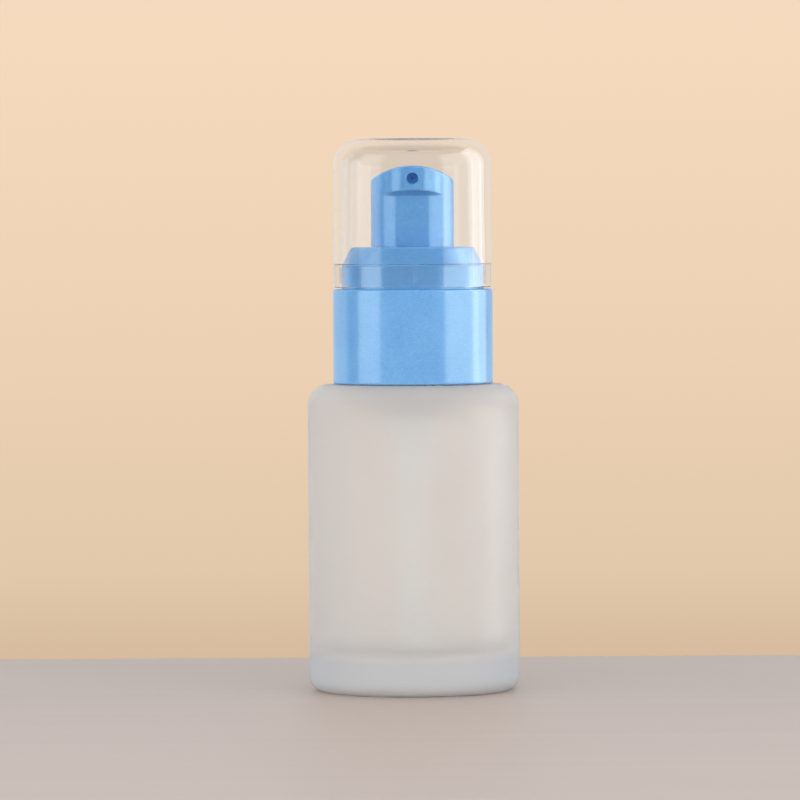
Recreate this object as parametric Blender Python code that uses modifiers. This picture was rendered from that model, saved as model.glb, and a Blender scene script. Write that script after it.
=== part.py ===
"""A foundation bottle: a frosted glass bottle with a screwed-on pump under a clear overcap.

Metres, +Z up. The origin is the centre of the base, and the button's nose points to -Y.
Every turned piece is a profile of (radius, height) points carried round the Z axis.
"""

import math

import bmesh
import bpy
from mathutils import Matrix, Vector

MM = 0.001
GAP = 0.3 * MM  # clearance between two pieces that touch or slide
MERGE = 0.00001

FINE = 40  # sides of the large round pieces
MEDIUM = 28
SMALL = 20
VENT_SIDES = 10  # small drilled holes

# glass bottle
BODY_RADIUS = 18.0 * MM
SHOULDER_Z = 52.3 * MM
SHOULDER_ROUND = 3.5 * MM
BASE_ROUND = 2.4 * MM
FLOOR_Z = 6.5 * MM  # inner floor: the base is thick
WALL = 2.8 * MM
ROOF = 3.0 * MM  # glass under the shoulder
PUSH_UP_RADIUS = 12.5 * MM
PUSH_UP_DEPTH = 0.5 * MM
NECK_RADIUS = 8.95 * MM
NECK_BORE = 6.6 * MM
NECK_TOP_Z = 63.65 * MM
BEAD_RADIUS = 9.7 * MM
BEAD_Z = 55.2 * MM

# screw thread, right hand
PITCH = 3.0 * MM
TURNS = 1.3
THREAD_WIRE = 0.75 * MM  # radius of the rounded ridge
THREAD_DEPTH = 0.9 * MM  # how far a ridge stands out of its wall
THREAD_Z = 58.6 * MM  # where the bottle's ridge starts
THREAD_STEPS = 24  # a turn
THREAD_TIP = 0.3  # share of the ridge's size that is left at its ends

# screw closure
CLOSURE_RADIUS = 11.7 * MM
CLOSURE_BORE = 10.15 * MM
CLOSURE_BOTTOM_Z = 53.2 * MM
CLOSURE_TOP_Z = 67.0 * MM
CLOSURE_ROOF = 1.1 * MM
CLOSURE_HOLE = 5.4 * MM
GRIP_RIBS = 12
GRIP_RIB_RADIUS = 12.25 * MM
GRIP_RIB_WIDTH = 0.9 * MM

# collar sleeve
COLLAR_RADIUS = 13.65 * MM
COLLAR_BOTTOM_Z = 52.7 * MM
LEDGE_Z = 68.5 * MM  # the overcap's rim stands over this ledge
COLLAR_CAVITY = 12.6 * MM
COLLAR_ROOF = 1.2 * MM
RING_RADIUS = 12.15 * MM
RING_Z = 72.3 * MM  # top of the ring's straight side
RING_TOP_RADIUS = 10.5 * MM
RING_TOP_Z = 75.7 * MM
RING_ROOF_RADIUS = 9.2 * MM  # of the ring's inner roof, under its bevelled top
RING_CAVITY = 10.9 * MM
RING_HOLE = 7.5 * MM

# overcap
CAP_RADIUS = 13.55 * MM
CAP_TOP_RADIUS = 13.35 * MM
CAP_RIM_Z = 68.8 * MM
CAP_TOP_Z = 94.1 * MM
CAP_ROUND = 4.4 * MM
CAP_SKIRT_BORE = 12.5 * MM
CAP_STEP_Z = 72.7 * MM
CAP_BORE = 12.25 * MM
CAP_TOP_BORE = 12.0 * MM
CAP_ROOF_Z = 92.9 * MM
CAP_INNER_ROUND = 3.2 * MM
GATE_RADIUS = 1.0 * MM
GATE_DEPTH = 0.25 * MM
SNAP_RIBS = 4
SNAP_RIB_PROUD = 0.2 * MM
SNAP_RIB_WIDTH = 0.6 * MM

# actuator button
BUTTON_RADIUS = 7.1 * MM
BUTTON_BOTTOM_Z = 72.0 * MM
BUTTON_TOP_Z = 89.45 * MM
ARCH_RADIUS = 12.0 * MM
NOSE_RADIUS = 5.0 * MM
NOSE_CENTRE_Y = -3.3 * MM
NOSE_ROOT_Z = 84.4 * MM
NOSE_TIP_Z = 85.2 * MM
NOZZLE_RADIUS = 0.97 * MM
NOZZLE_DEPTH = 3.0 * MM  # of the round recess, before the narrow orifice
NOZZLE_Z = 87.3 * MM
ORIFICE_RADIUS = 0.4 * MM
CHANNEL_RADIUS = 0.8 * MM  # from the stem up to the nozzle
BUTTON_WALL = 1.1 * MM
BUTTON_ROOF_Z = 84.0 * MM  # under the nose, so that the nose is solid
SOCKET_RADIUS = 3.1 * MM
SOCKET_BOTTOM_Z = 74.8 * MM

# pump barrel and what closes it
FLANGE_RADIUS = 8.4 * MM
FLANGE_Z = 64.75 * MM
FLANGE_THICK = 1.0 * MM
BARREL_RADIUS = 4.6 * MM
BARREL_BORE = 3.7 * MM
BARREL_TOP_Z = 68.6 * MM
CAGE_LEDGE_Z = 44.4 * MM
POCKET_RADIUS = 1.8 * MM
SEAT_TOP_Z = 42.0 * MM
SEAT_HOLE = 0.8 * MM
SEAT_GAP = 0.1 * MM  # under the ball
TUBE_STOP_Z = 40.0 * MM
TUBE_SOCKET_RADIUS = 2.8 * MM
TUBE_SOCKET_Z = 35.8 * MM
VENT_RADIUS = 0.4 * MM
VENT_Z = 61.0 * MM
GASKET_RADIUS = 8.7 * MM
LOCK_RADIUS = 5.6 * MM
LOCK_TOP_Z = 69.9 * MM
LOCK_PLATE = 1.0 * MM
LOCK_GAP = 0.2 * MM
SPIGOT_Z = 66.4 * MM
WIPER_Z = 65.1 * MM
WIPER_RADIUS = 3.4 * MM

# stem, piston and valves
STEM_RADIUS = 1.9 * MM
STEM_BORE = 1.1 * MM
STEM_TOP_Z = 82.0 * MM
STEM_BOTTOM_Z = 58.8 * MM
SHOULDER_RING_Z = 63.7 * MM
SHOULDER_RING_RADIUS = 2.9 * MM
RING_THICK = 1.1 * MM  # of the stem's shoulder ring and the retainer's flange
PORT_RADIUS = 0.4 * MM
PORT_Z = 59.5 * MM
PISTON_RADIUS = 3.6 * MM
PISTON_BOTTOM_Z = 58.8 * MM
PISTON_TOP_Z = 62.6 * MM
RETAINER_FLANGE_Z = 57.4 * MM
RETAINER_FLANGE_RADIUS = 2.8 * MM
RETAINER_PIN_TOP_Z = 63.0 * MM
GUIDE_RADIUS = 1.5 * MM
GUIDE_BOTTOM_Z = 53.0 * MM
SPRING_RADIUS = 2.35 * MM
SPRING_WIRE = 0.3 * MM
SPRING_BOTTOM_Z = 46.2 * MM
SPRING_TURNS = 7
SPRING_STEPS = 12  # a turn
BALL_RADIUS = 1.25 * MM
CAGE_RADIUS = 3.4 * MM
CAGE_HOLE = 0.9 * MM
CAGE_THICK = 1.2 * MM
CAGE_SLOT = (3.4 * MM, 0.7 * MM, 4.0 * MM)
TUBE_RADIUS = 1.5 * MM
TUBE_BORE = 1.0 * MM
TUBE_BOTTOM_Z = 7.2 * MM
TUBE_CUT_DEG = 35


# ---- scene ----


def clear_scene():
    for obj in list(bpy.data.objects):
        bpy.data.objects.remove(obj, do_unlink=True)


def make_collection(name):
    collection = bpy.data.collections.new(name)
    bpy.context.scene.collection.children.link(collection)
    return collection


def make_material(name, colour, roughness, metallic=0.0, alpha=1.0, transmission=0.0):
    material = bpy.data.materials.new(name)
    material.use_nodes = True
    shader = material.node_tree.nodes["Principled BSDF"]
    shader.inputs["Base Color"].default_value = (*colour, 1.0)
    shader.inputs["Roughness"].default_value = roughness
    shader.inputs["Metallic"].default_value = metallic
    shader.inputs["Alpha"].default_value = alpha
    shader.inputs["Transmission Weight"].default_value = transmission
    return material


def place(obj, collection, material=None):
    """Moves the object to one collection, and gives it its only material."""
    for other in list(obj.users_collection):
        other.objects.unlink(obj)
    collection.objects.link(obj)
    if material:
        obj.data.materials.clear()
        obj.data.materials.append(material)
    return obj


def make_helper(obj):
    """A cutter or an added shape: kept as a wire guide, and never rendered."""
    place(obj, helpers)
    obj.hide_render = True
    obj.display_type = "WIRE"
    return obj


# ---- shapes ----


def arc(radius, height, round_radius, start_deg, end_deg, pieces):
    """Points of an arc in a profile, about (radius, height), from one angle to another."""
    points = []
    for i in range(pieces + 1):
        angle = math.radians(start_deg + (end_deg - start_deg) * i / pieces)
        points.append((radius + round_radius * math.cos(angle), height + round_radius * math.sin(angle)))
    return points


def turned(name, profile, sides, closed=True):
    """Carries a profile round the Z axis. It runs up the inside and down the outside."""
    mesh = bpy.data.meshes.new(name)
    count = len(profile)
    edges = [(i, i + 1) for i in range(count - 1)]
    if closed:
        edges.append((count - 1, 0))
    mesh.from_pydata([(r, 0.0, z) for r, z in profile], edges, [])
    obj = bpy.data.objects.new(name, mesh)
    bpy.context.scene.collection.objects.link(obj)
    screw = obj.modifiers.new("Turn", "SCREW")
    screw.axis = "Z"
    screw.steps = sides
    screw.render_steps = sides
    screw.use_merge_vertices = True
    screw.merge_threshold = MERGE
    screw.use_smooth_shade = True
    return obj


def ring(name, inner, outer, bottom, top, sides):
    """A plain turned ring."""
    return turned(name, [(inner, bottom), (inner, top), (outer, top), (outer, bottom)], sides)


def rod(name, radius, start, end, sides):
    """A cylinder from one point to another."""
    line = Vector(end) - Vector(start)
    bpy.ops.mesh.primitive_cylinder_add(vertices=sides, radius=radius, depth=line.length)
    obj = bpy.context.object
    obj.name = name
    obj.rotation_euler = line.to_track_quat("Z", "Y").to_euler()
    obj.location = (Vector(start) + Vector(end)) / 2
    return obj


def block(name, size, location, turn_x_deg=0.0):
    """A box with its scale applied."""
    bpy.ops.mesh.primitive_cube_add(size=1.0)
    obj = bpy.context.object
    obj.name = name
    obj.data.transform(Matrix.Diagonal((*size, 1.0)))
    obj.rotation_euler.x = math.radians(turn_x_deg)
    obj.location = location
    return obj


def combine(obj, other, operation):
    """Cuts or joins with a helper shape."""
    modifier = obj.modifiers.new(other.name, "BOOLEAN")
    modifier.operation = operation
    modifier.solver = "EXACT"
    modifier.object = make_helper(other)
    return obj


def wire(name, points, radius, sizes=None):
    """A bent round wire with closed ends, as a mesh. sizes scales its radius at each point."""
    curve = bpy.data.curves.new(name, "CURVE")
    curve.dimensions = "3D"
    curve.bevel_depth = radius
    curve.bevel_resolution = 2
    curve.use_fill_caps = True
    spline = curve.splines.new("POLY")
    spline.points.add(len(points) - 1)
    for i, point in enumerate(points):
        spline.points[i].co = (*point, 1.0)
        spline.points[i].radius = sizes[i] if sizes else 1.0
    guide = bpy.data.objects.new(name + "_guide", curve)
    bpy.context.scene.collection.objects.link(guide)
    mesh = bpy.data.meshes.new_from_object(guide.evaluated_get(bpy.context.evaluated_depsgraph_get()))
    mesh.name = name
    welded = bmesh.new()
    welded.from_mesh(mesh)
    bmesh.ops.remove_doubles(welded, verts=welded.verts, dist=MERGE)
    bmesh.ops.recalc_face_normals(welded, faces=welded.faces)
    welded.to_mesh(mesh)
    welded.free()
    obj = bpy.data.objects.new(name, mesh)
    obj.matrix_world = guide.matrix_world
    bpy.context.scene.collection.objects.link(obj)
    bpy.data.objects.remove(guide)
    return obj


def thread_ridge(name, wall_radius, outward, start_z):
    """A rounded right-hand ridge on a wall, sunk into it at both ends. outward is 1 or -1."""
    steps = round(THREAD_STEPS * TURNS)
    points = []
    sizes = []
    for i in range(steps + 1):
        share = i / steps
        angle = 2 * math.pi * TURNS * share
        fade = min(1.0, 5 * share, 5 * (1 - share))  # the run-outs take a fifth at each end
        radius = wall_radius + outward * (THREAD_DEPTH - THREAD_WIRE) * fade
        points.append((radius * math.cos(angle), radius * math.sin(angle), start_z + PITCH * TURNS * share))
        sizes.append(THREAD_TIP + (1 - THREAD_TIP) * fade)
    return wire(name, points, THREAD_WIRE, sizes)


# ---- bottle ----


def glass_bottle():
    inner = BODY_RADIUS - WALL
    floor_round = 2.6 * MM
    roof_round = 3.0 * MM
    roof_z = SHOULDER_Z - ROOF
    bore_round = 1.5 * MM
    lip = 0.5 * MM
    bead = 0.45 * MM
    profile = [(0.0, FLOOR_Z)]
    profile += arc(inner - floor_round, FLOOR_Z + floor_round, floor_round, -90, 0, 3)
    profile += arc(inner - roof_round, roof_z - roof_round, roof_round, 0, 90, 3)
    profile += arc(NECK_BORE + bore_round, roof_z + bore_round, bore_round, -90, -180, 2)
    profile += arc(NECK_BORE + lip, NECK_TOP_Z - lip, lip, 180, 90, 2)
    profile += arc(NECK_RADIUS - lip, NECK_TOP_Z - lip, lip, 90, 0, 2)
    profile += [(NECK_RADIUS, BEAD_Z + 2 * bead), (BEAD_RADIUS, BEAD_Z + bead)]
    profile += [(BEAD_RADIUS, BEAD_Z - bead), (NECK_RADIUS, BEAD_Z - 2 * bead)]
    profile += [(NECK_RADIUS, SHOULDER_Z + lip), (NECK_RADIUS + lip, SHOULDER_Z)]
    profile += arc(BODY_RADIUS - SHOULDER_ROUND, SHOULDER_Z - SHOULDER_ROUND, SHOULDER_ROUND, 90, 0, 4)
    profile += arc(BODY_RADIUS - BASE_ROUND, BASE_ROUND, BASE_ROUND, 0, -90, 3)
    profile += [(PUSH_UP_RADIUS, 0.0), (PUSH_UP_RADIUS - PUSH_UP_DEPTH, PUSH_UP_DEPTH), (0.0, PUSH_UP_DEPTH)]
    obj = turned("glass_bottle", profile, FINE, closed=False)
    combine(obj, thread_ridge("bottle_thread", NECK_RADIUS, 1, THREAD_Z), "UNION")
    return place(obj, pieces, frosted_glass)


# ---- closure and collar ----


def screw_closure():
    roof_z = CLOSURE_TOP_Z - CLOSURE_ROOF
    profile = [(CLOSURE_BORE, CLOSURE_BOTTOM_Z), (CLOSURE_BORE, roof_z), (CLOSURE_HOLE, roof_z)]
    profile += [(CLOSURE_HOLE, CLOSURE_TOP_Z), (CLOSURE_RADIUS, CLOSURE_TOP_Z)]
    profile += [(CLOSURE_RADIUS, CLOSURE_BOTTOM_Z)]
    obj = turned("screw_closure", profile, FINE)
    ridge = thread_ridge("closure_thread", CLOSURE_BORE, -1, THREAD_Z - PITCH / 2)
    combine(obj, ridge, "UNION")
    height = CLOSURE_TOP_Z - CLOSURE_BOTTOM_Z - 2 * MM
    middle_z = (CLOSURE_TOP_Z + CLOSURE_BOTTOM_Z) / 2
    depth = 1.2 * MM
    for i in range(GRIP_RIBS):
        angle = 2 * math.pi * (i + 0.5) / GRIP_RIBS
        reach = GRIP_RIB_RADIUS - depth / 2
        location = (reach * math.cos(angle), reach * math.sin(angle), middle_z)
        rib = block("grip_rib", (depth, GRIP_RIB_WIDTH, height), location)
        rib.rotation_euler.z = angle
        combine(obj, rib, "UNION")
    return place(obj, pieces, white_plastic)


def collar_sleeve():
    edge = 0.35 * MM
    profile = [(COLLAR_CAVITY, COLLAR_BOTTOM_Z), (COLLAR_CAVITY, LEDGE_Z - COLLAR_ROOF)]
    profile += [(RING_CAVITY, LEDGE_Z - COLLAR_ROOF), (RING_CAVITY, RING_Z)]
    profile += [(RING_ROOF_RADIUS, RING_TOP_Z - COLLAR_ROOF), (RING_HOLE, RING_TOP_Z - COLLAR_ROOF)]
    profile += [(RING_HOLE, RING_TOP_Z - edge), (RING_HOLE + edge, RING_TOP_Z)]
    profile += [(RING_TOP_RADIUS - edge, RING_TOP_Z), (RING_TOP_RADIUS, RING_TOP_Z - edge)]
    profile += [(RING_RADIUS, RING_Z), (RING_RADIUS, LEDGE_Z)]
    profile += arc(COLLAR_RADIUS - edge, LEDGE_Z - edge, edge, 90, 0, 2)
    profile += arc(COLLAR_RADIUS - edge, COLLAR_BOTTOM_Z + edge, edge, 0, -90, 2)
    obj = turned("collar_sleeve", profile, FINE)
    return place(obj, pieces, blue_plastic)


def neck_gasket():
    bottom = NECK_TOP_Z + GAP / 2
    top = FLANGE_Z - GAP / 2
    obj = ring("neck_gasket", BARREL_RADIUS + 2 * GAP, GASKET_RADIUS, bottom, top, MEDIUM)
    return place(obj, pieces, soft_plastic)


# ---- overcap ----


def overcap():
    rim = 0.3 * MM
    profile = [(0.0, CAP_TOP_Z)]
    profile += arc(CAP_TOP_RADIUS - CAP_ROUND, CAP_TOP_Z - CAP_ROUND, CAP_ROUND, 90, 0, 5)
    profile += [(CAP_RADIUS, CAP_RIM_Z + rim), (CAP_RADIUS - rim, CAP_RIM_Z), (CAP_SKIRT_BORE, CAP_RIM_Z)]
    profile += [(CAP_SKIRT_BORE, CAP_STEP_Z), (CAP_BORE, CAP_STEP_Z + rim)]
    profile += arc(CAP_TOP_BORE - CAP_INNER_ROUND, CAP_ROOF_Z - CAP_INNER_ROUND, CAP_INNER_ROUND, 0, 90, 4)
    profile += [(GATE_RADIUS, CAP_ROOF_Z), (GATE_RADIUS, CAP_ROOF_Z + GATE_DEPTH)]
    profile += [(0.0, CAP_ROOF_Z + GATE_DEPTH)]
    obj = turned("overcap", profile, FINE, closed=False)
    height = CAP_STEP_Z - CAP_RIM_Z - 3 * rim
    depth = 0.7 * MM
    reach = CAP_SKIRT_BORE - SNAP_RIB_PROUD + depth / 2
    for i in range(SNAP_RIBS):
        angle = 2 * math.pi * i / SNAP_RIBS - math.pi / 2
        location = (reach * math.cos(angle), reach * math.sin(angle), (CAP_STEP_Z + CAP_RIM_Z) / 2)
        rib = block("snap_rib", (depth, SNAP_RIB_WIDTH, height), location)
        rib.rotation_euler.z = angle
        combine(obj, rib, "UNION")
    return place(obj, pieces, clear_plastic)


# ---- actuator button ----


def button_nose():
    """The plain round nose, with its underside sloping up to the tip."""
    low = (0.0, NOSE_CENTRE_Y, NOSE_ROOT_Z)
    high = (0.0, NOSE_CENTRE_Y, BUTTON_TOP_Z + 2 * MM)
    nose = rod("button_nose", NOSE_RADIUS, low, high, FINE)
    tip_y = NOSE_CENTRE_Y - NOSE_RADIUS
    slope = math.atan2(NOSE_TIP_Z - NOSE_ROOT_Z, -BUTTON_RADIUS - tip_y)
    depth = 8 * MM
    location = (0.0, -BUTTON_RADIUS - math.sin(slope) * depth / 2, NOSE_ROOT_Z - math.cos(slope) * depth / 2)
    wedge = block("nose_wedge", (20 * MM, 20 * MM, depth), location, -math.degrees(slope))
    return combine(nose, wedge, "DIFFERENCE")


def actuator_button():
    edge = 0.3 * MM
    bore = STEM_RADIUS + GAP
    high = BUTTON_TOP_Z + MM
    inner = BUTTON_RADIUS - BUTTON_WALL
    profile = [(0.0, high), (BUTTON_RADIUS, high), (BUTTON_RADIUS, BUTTON_BOTTOM_Z + edge)]
    profile += [(BUTTON_RADIUS - edge, BUTTON_BOTTOM_Z), (inner, BUTTON_BOTTOM_Z), (inner, BUTTON_ROOF_Z)]
    profile += [(SOCKET_RADIUS, BUTTON_ROOF_Z), (SOCKET_RADIUS, SOCKET_BOTTOM_Z), (bore, SOCKET_BOTTOM_Z)]
    profile += [(bore, STEM_TOP_Z + GAP), (0.0, STEM_TOP_Z + GAP)]
    obj = turned("actuator_button", profile, FINE, closed=False)
    combine(obj, button_nose(), "UNION")
    arch_z = BUTTON_TOP_Z - ARCH_RADIUS
    reach = 2 * BUTTON_RADIUS
    arch = rod("button_arch", ARCH_RADIUS, (0.0, reach, arch_z), (0.0, -reach, arch_z), 2 * FINE)
    combine(obj, arch, "INTERSECT")
    nozzle_y = NOSE_CENTRE_Y - NOSE_RADIUS + NOZZLE_DEPTH
    nozzle = rod("nozzle", NOZZLE_RADIUS, (0.0, nozzle_y, NOZZLE_Z), (0.0, -reach, NOZZLE_Z), SMALL)
    combine(obj, nozzle, "DIFFERENCE")
    orifice = rod("orifice", ORIFICE_RADIUS, (0.0, 0.0, NOZZLE_Z), (0.0, -reach, NOZZLE_Z), VENT_SIDES)
    combine(obj, orifice, "DIFFERENCE")
    channel = rod("channel", CHANNEL_RADIUS, (0.0, 0.0, STEM_TOP_Z), (0.0, 0.0, NOZZLE_Z), SMALL)
    combine(obj, channel, "DIFFERENCE")
    return place(obj, pieces, blue_plastic)


# ---- pump barrel ----


def pump_housing():
    socket = TUBE_RADIUS + GAP
    flange_top = FLANGE_Z + FLANGE_THICK
    profile = [(socket, TUBE_SOCKET_Z), (socket, TUBE_STOP_Z), (SEAT_HOLE, TUBE_STOP_Z)]
    profile += [(SEAT_HOLE, SEAT_TOP_Z - POCKET_RADIUS + SEAT_HOLE), (POCKET_RADIUS, SEAT_TOP_Z)]
    profile += [(POCKET_RADIUS, CAGE_LEDGE_Z), (BARREL_BORE, CAGE_LEDGE_Z), (BARREL_BORE, BARREL_TOP_Z)]
    profile += [(BARREL_RADIUS, BARREL_TOP_Z), (BARREL_RADIUS, flange_top), (FLANGE_RADIUS, flange_top)]
    profile += [(FLANGE_RADIUS, FLANGE_Z), (BARREL_RADIUS, FLANGE_Z), (BARREL_RADIUS, CAGE_LEDGE_Z - MM)]
    profile += [(TUBE_SOCKET_RADIUS, SEAT_TOP_Z - MM), (TUBE_SOCKET_RADIUS, TUBE_SOCKET_Z)]
    obj = turned("pump_housing", profile, MEDIUM)
    vent_start = (0.0, BARREL_BORE - MM / 2, VENT_Z)
    vent = rod("vent", VENT_RADIUS, vent_start, (0.0, BARREL_RADIUS + MM, VENT_Z), VENT_SIDES)
    combine(obj, vent, "DIFFERENCE")
    return place(obj, pieces, white_plastic)


def housing_cap():
    hole = STEM_RADIUS + GAP
    skirt = BARREL_RADIUS + LOCK_GAP
    spigot = BARREL_BORE - LOCK_GAP
    plate_z = LOCK_TOP_Z - LOCK_PLATE
    skirt_z = CLOSURE_TOP_Z + GAP
    profile = [(hole, SPIGOT_Z), (hole, LOCK_TOP_Z), (LOCK_RADIUS, LOCK_TOP_Z), (LOCK_RADIUS, skirt_z)]
    profile += [(skirt, skirt_z), (skirt, plate_z), (spigot, plate_z), (spigot, SPIGOT_Z)]
    return place(turned("housing_cap", profile, MEDIUM), pieces, white_plastic)


def stem_wiper():
    inner = STEM_RADIUS + GAP / 2
    obj = ring("stem_wiper", inner, WIPER_RADIUS, WIPER_Z, SPIGOT_Z - GAP, SMALL)
    return place(obj, pieces, soft_plastic)


def ball_cage():
    """Stands on the barrel's ledge, with a slot that stays open when the ball rises."""
    bottom = CAGE_LEDGE_Z + GAP
    top = bottom + CAGE_THICK
    rim = SPRING_RADIUS + SPRING_WIRE + GAP
    profile = [(CAGE_HOLE, bottom), (CAGE_HOLE, top), (rim, top), (rim, top + MM)]
    profile += [(CAGE_RADIUS, top + MM), (CAGE_RADIUS, bottom)]
    obj = turned("ball_cage", profile, SMALL)
    slot = block("cage_slot", CAGE_SLOT, (0.0, 0.0, top))
    combine(obj, slot, "DIFFERENCE")
    return place(obj, pieces, white_plastic)


def inlet_ball():
    """Rests on the barrel's 45 degree seat."""
    seat_apex_z = SEAT_TOP_Z - POCKET_RADIUS
    centre_z = seat_apex_z + (BALL_RADIUS + SEAT_GAP) * math.sqrt(2)
    bpy.ops.mesh.primitive_uv_sphere_add(segments=16, ring_count=8, radius=BALL_RADIUS)
    obj = bpy.context.object
    obj.name = "inlet_ball"
    obj.data.shade_smooth()
    obj.location.z = centre_z
    return place(obj, pieces, steel)


def dip_tube():
    top = TUBE_STOP_Z - GAP
    obj = ring("dip_tube", TUBE_BORE, TUBE_RADIUS, TUBE_BOTTOM_Z, top, SMALL)
    slope = math.radians(TUBE_CUT_DEG)
    depth = 6 * MM
    middle_z = TUBE_BOTTOM_Z + TUBE_RADIUS * math.tan(slope)
    location = (0.0, math.sin(slope) * depth / 2, middle_z - math.cos(slope) * depth / 2)
    cut = block("tube_cut", (10 * MM, 10 * MM, depth), location, TUBE_CUT_DEG)
    combine(obj, cut, "DIFFERENCE")
    return place(obj, pieces, soft_plastic)


# ---- stem and piston ----


def piston_stem():
    ring_top = SHOULDER_RING_Z + RING_THICK
    profile = [(STEM_BORE, STEM_BOTTOM_Z), (STEM_BORE, STEM_TOP_Z), (STEM_RADIUS, STEM_TOP_Z)]
    profile += [(STEM_RADIUS, ring_top), (SHOULDER_RING_RADIUS, ring_top)]
    profile += [(SHOULDER_RING_RADIUS, SHOULDER_RING_Z), (STEM_RADIUS, SHOULDER_RING_Z)]
    profile += [(STEM_RADIUS, STEM_BOTTOM_Z)]
    obj = turned("piston_stem", profile, SMALL)
    reach = STEM_RADIUS + MM
    port = rod("stem_ports", PORT_RADIUS, (-reach, 0.0, PORT_Z), (reach, 0.0, PORT_Z), VENT_SIDES)
    combine(obj, port, "DIFFERENCE")
    return place(obj, pieces, white_plastic)


def piston():
    lip = 0.7 * MM
    waist = PISTON_RADIUS - lip
    profile = [(STEM_RADIUS + GAP, PISTON_BOTTOM_Z), (STEM_RADIUS + GAP, PISTON_TOP_Z)]
    profile += [(PISTON_RADIUS, PISTON_TOP_Z), (PISTON_RADIUS, PISTON_TOP_Z - lip)]
    profile += [(waist, PISTON_TOP_Z - 2 * lip), (waist, PISTON_BOTTOM_Z + 2 * lip)]
    profile += [(PISTON_RADIUS, PISTON_BOTTOM_Z + lip), (PISTON_RADIUS, PISTON_BOTTOM_Z)]
    return place(turned("piston", profile, MEDIUM), pieces, soft_plastic)


def piston_retainer():
    flange_top = RETAINER_FLANGE_Z + RING_THICK
    pin = STEM_BORE - GAP
    profile = [(0.0, RETAINER_PIN_TOP_Z), (pin, RETAINER_PIN_TOP_Z), (pin, flange_top)]
    profile += [(RETAINER_FLANGE_RADIUS, flange_top), (RETAINER_FLANGE_RADIUS, RETAINER_FLANGE_Z)]
    profile += [(GUIDE_RADIUS, RETAINER_FLANGE_Z), (GUIDE_RADIUS, GUIDE_BOTTOM_Z + GAP)]
    profile += [(GUIDE_RADIUS - GAP, GUIDE_BOTTOM_Z), (0.0, GUIDE_BOTTOM_Z)]
    return place(turned("piston_retainer", profile, SMALL, closed=False), pieces, white_plastic)


def return_spring():
    start = SPRING_BOTTOM_Z + SPRING_WIRE
    rise = RETAINER_FLANGE_Z - GAP - SPRING_WIRE - start
    steps = SPRING_STEPS * SPRING_TURNS
    points = []
    for i in range(steps + 1):
        angle = 2 * math.pi * SPRING_TURNS * i / steps
        height = start + rise * i / steps
        points.append((SPRING_RADIUS * math.cos(angle), SPRING_RADIUS * math.sin(angle), height))
    return place(wire("return_spring", points, SPRING_WIRE), pieces, steel)


# ---- assembly ----


def make_axis(name, height, members, parent=None):
    """An empty on the vertical axis that carries the pieces of one moving body."""
    empty = bpy.data.objects.new(name, None)
    empty.empty_display_size = 5 * MM
    empty.location.z = height
    pieces.objects.link(empty)
    bpy.context.view_layer.update()
    for member in members:
        member.parent = empty
        member.matrix_parent_inverse = empty.matrix_world.inverted()
    if parent:
        empty.parent = parent
        empty.matrix_parent_inverse = parent.matrix_world.inverted()
    return empty


clear_scene()
pieces = make_collection("foundation_bottle")
helpers = make_collection("cutters")

frosted_glass = make_material("frosted_glass", (0.62, 0.65, 0.64), 0.45, transmission=0.8)
clear_plastic = make_material("clear_plastic", (0.93, 0.93, 0.92), 0.05, alpha=0.35, transmission=0.9)
blue_plastic = make_material("blue_plastic", (0.16, 0.39, 0.68), 0.35)
white_plastic = make_material("white_plastic", (0.80, 0.81, 0.80), 0.4)
soft_plastic = make_material("soft_plastic", (0.72, 0.74, 0.74), 0.5)
steel = make_material("steel", (0.6, 0.6, 0.6), 0.25, metallic=1.0)

glass_bottle()
gasket_axis = make_axis("gasket_axis", NECK_TOP_Z, [neck_gasket()])
closure_members = [screw_closure(), collar_sleeve(), pump_housing(), housing_cap(), stem_wiper(), ball_cage()]
closure_members += [dip_tube(), return_spring()]
closure_axis = make_axis("closure_axis", CLOSURE_TOP_Z, closure_members, gasket_axis)
pump_axis = make_axis("pump_axis", BARREL_TOP_Z, [piston_stem(), piston_retainer()], closure_axis)
make_axis("piston_axis", PISTON_BOTTOM_Z, [piston()], pump_axis)
make_axis("button_axis", STEM_TOP_Z, [actuator_button()], pump_axis)
make_axis("overcap_axis", CAP_RIM_Z, [overcap()], closure_axis)
make_axis("ball_axis", SEAT_TOP_Z, [inlet_ball()], closure_axis)
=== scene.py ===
import bpy
import math
import numpy as np
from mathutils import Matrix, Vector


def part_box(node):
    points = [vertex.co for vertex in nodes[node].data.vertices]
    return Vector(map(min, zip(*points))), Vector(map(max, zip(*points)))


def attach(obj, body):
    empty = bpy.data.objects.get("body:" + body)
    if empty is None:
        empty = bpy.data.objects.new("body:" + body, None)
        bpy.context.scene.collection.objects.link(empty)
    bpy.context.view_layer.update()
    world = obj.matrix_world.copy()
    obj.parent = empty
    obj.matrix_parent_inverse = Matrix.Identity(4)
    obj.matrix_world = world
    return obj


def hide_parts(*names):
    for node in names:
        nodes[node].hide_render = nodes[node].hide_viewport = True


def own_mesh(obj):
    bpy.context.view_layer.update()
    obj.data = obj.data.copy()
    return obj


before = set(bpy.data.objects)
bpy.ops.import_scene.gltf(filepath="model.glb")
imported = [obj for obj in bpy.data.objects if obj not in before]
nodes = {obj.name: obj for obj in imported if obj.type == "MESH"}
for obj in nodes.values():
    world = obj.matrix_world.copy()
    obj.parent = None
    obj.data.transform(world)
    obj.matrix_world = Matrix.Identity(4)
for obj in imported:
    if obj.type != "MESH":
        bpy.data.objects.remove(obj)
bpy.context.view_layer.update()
mm = 0.001


# small helpers


def boxOf(node):
    # lowest and highest corner of a CAD node, in millimetres
    low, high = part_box(node)
    return np.array(low) / mm, np.array(high) / mm


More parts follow.
